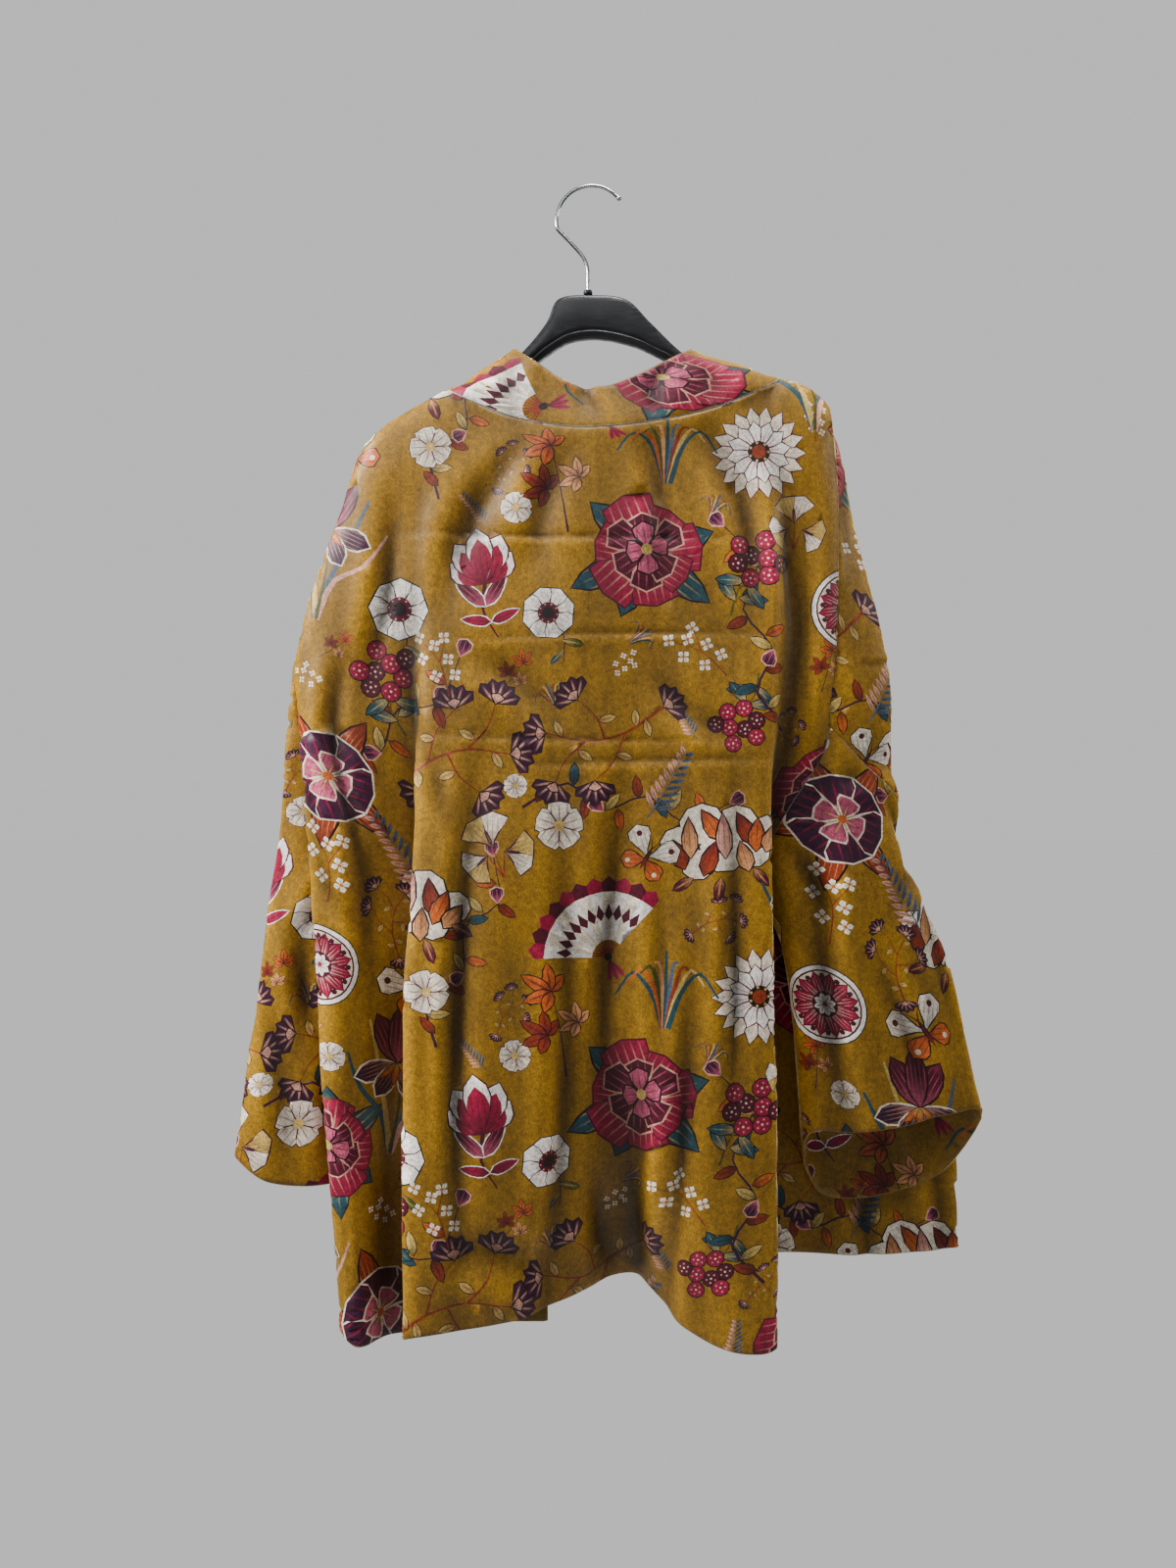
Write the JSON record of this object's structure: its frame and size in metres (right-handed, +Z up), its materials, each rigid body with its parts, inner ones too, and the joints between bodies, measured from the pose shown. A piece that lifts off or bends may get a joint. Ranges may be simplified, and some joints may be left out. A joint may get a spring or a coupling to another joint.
{
  "type": "kimono jacket on a clothes hanger",
  "caption": "Hip-length open-front kimono jacket with dropped shoulders, wide sleeves and a neck band, hung on a moulded hanger with a wire hook.",
  "frame": {"origin": "inside top of the hanger's hook, where a rail or peg carries it", "axes": "+Z up, +X across the jacket to the wearer's right sleeve, +Y from the jacket's back to its fronts"},
  "size_m": [0.711, 0.1259, 1.1004],
  "materials": {
    "velvet": "printed velvet, ochre ground, soft pile",
    "hanger_plastic": "black moulded plastic, satin",
    "hook_wire": "bright plated wire"
  },
  "bodies": {
    "root": {"back": "velvet", "front_left": "velvet", "front_right": "velvet", "sleeve_left": "velvet", "sleeve_right": "velvet", "neck_band": "velvet", "hanger_body": "hanger_plastic", "hanger_ferrule": "hanger_plastic", "hanger_hook": "hook_wire"}
  },
  "joints": []
}
